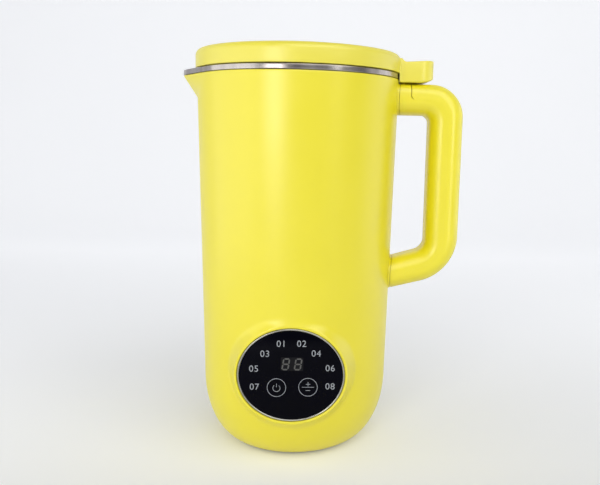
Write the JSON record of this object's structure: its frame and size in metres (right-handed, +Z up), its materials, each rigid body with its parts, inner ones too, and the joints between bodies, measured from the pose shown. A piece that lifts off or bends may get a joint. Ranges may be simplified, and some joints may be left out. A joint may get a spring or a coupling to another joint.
{
  "type": "nut milk maker",
  "caption": "Countertop nut milk maker: a yellow jug with a motor base, heated steel cup, pouring beak, loop handle, oval touch panel and lift-off lid.",
  "frame": {"origin": "centre of the bounding box, on the surface that the feet stand on", "axes": "+Z up; -Y is the side with the control panel; +X is the side with the handle, and the pouring beak points to -X"},
  "size_m": [0.1754, 0.1268, 0.25],
  "materials": {
    "yellow_plastic": "satin",
    "steel": "brushed",
    "trim_metal": "polished",
    "lens_black": "gloss",
    "black_plastic": "matte",
    "rubber": "matte",
    "silicone": "matte",
    "white_plastic": "matte",
    "zinc_steel": "plated",
    "aluminium": "cast",
    "lamination": "matte",
    "copper": "enamelled",
    "brass": "plain",
    "carbon": "matte",
    "board": "satin"
  },
  "bodies": {
    "housing": {"outer_shell": "yellow_plastic", "inner_cup": "steel", "base_cover": "black_plastic", "foot_1": "rubber", "foot_2": "rubber", "foot_3": "rubber", "foot_4": "rubber", "base_screw_1": "zinc_steel", "base_screw_2": "zinc_steel", "base_screw_3": "zinc_steel", "handle_frame": "yellow_plastic", "handle_cover": "yellow_plastic", "handle_screw_1": "zinc_steel", "handle_screw_2": "zinc_steel", "panel_trim_ring": "trim_metal", "panel_lens": "lens_black", "display_board": "board", "digit_display": "black_plastic", "touch_spring_1": "zinc_steel", "touch_spring_2": "zinc_steel", "heater_plate": "aluminium", "heater_tube": "steel", "temp_sensor": "steel", "thermal_cutout": "black_plastic", "shaft_seal": "silicone", "seal_seat": "steel", "motor_carrier": "zinc_steel", "top_bracket": "aluminium", "bottom_bracket": "aluminium", "upper_bearing": "steel", "lower_bearing": "steel", "stator_core": "lamination", "field_coil_1": "copper", "field_coil_2": "copper", "brush_holder_1": "brass", "brush_holder_2": "brass", "carbon_brush_1": "carbon", "carbon_brush_2": "carbon", "motor_bolt_1": "zinc_steel", "motor_bolt_2": "zinc_steel", "power_board": "board", "relay": "black_plastic", "filter_capacitor": "white_plastic", "inlet_housing": "black_plastic", "inlet_pin_live": "brass", "inlet_pin_earth": "brass", "inlet_pin_neutral": "brass", "lid_switch": "black_plastic"},
    "rotor": {"motor_shaft": "steel", "armature_core": "lamination", "armature_winding": "copper", "commutator": "copper", "cooling_fan": "black_plastic", "blade": "steel", "blade_nut": "steel"},
    "lid": {"lid_cover": "yellow_plastic", "lid_liner": "white_plastic", "lid_seal": "silicone"},
    "plunger": {"interlock_plunger": "black_plastic", "plunger_spring": "zinc_steel"}
  },
  "joints": [
    {"name": "blade_spin", "type": "hinge", "parent": "housing", "child": "rotor", "pos_m": [-0.01585, 0, 0.0995], "axis": [0, 0, 1], "continuous": true},
    {"name": "lid_lift", "type": "slide", "parent": "housing", "child": "lid", "axis": [0, 0, 1], "range_m": [0, 0.1]},
    {"name": "plunger_rise", "type": "slide", "parent": "housing", "child": "plunger", "axis": [0, 0, 1], "range_m": [0, 0.0016], "deforming": ["plunger_spring"]}
  ],
  "couplings": [
    {"joint": "plunger_rise", "follows": "lid_lift", "ratio": 0.016}
  ]
}
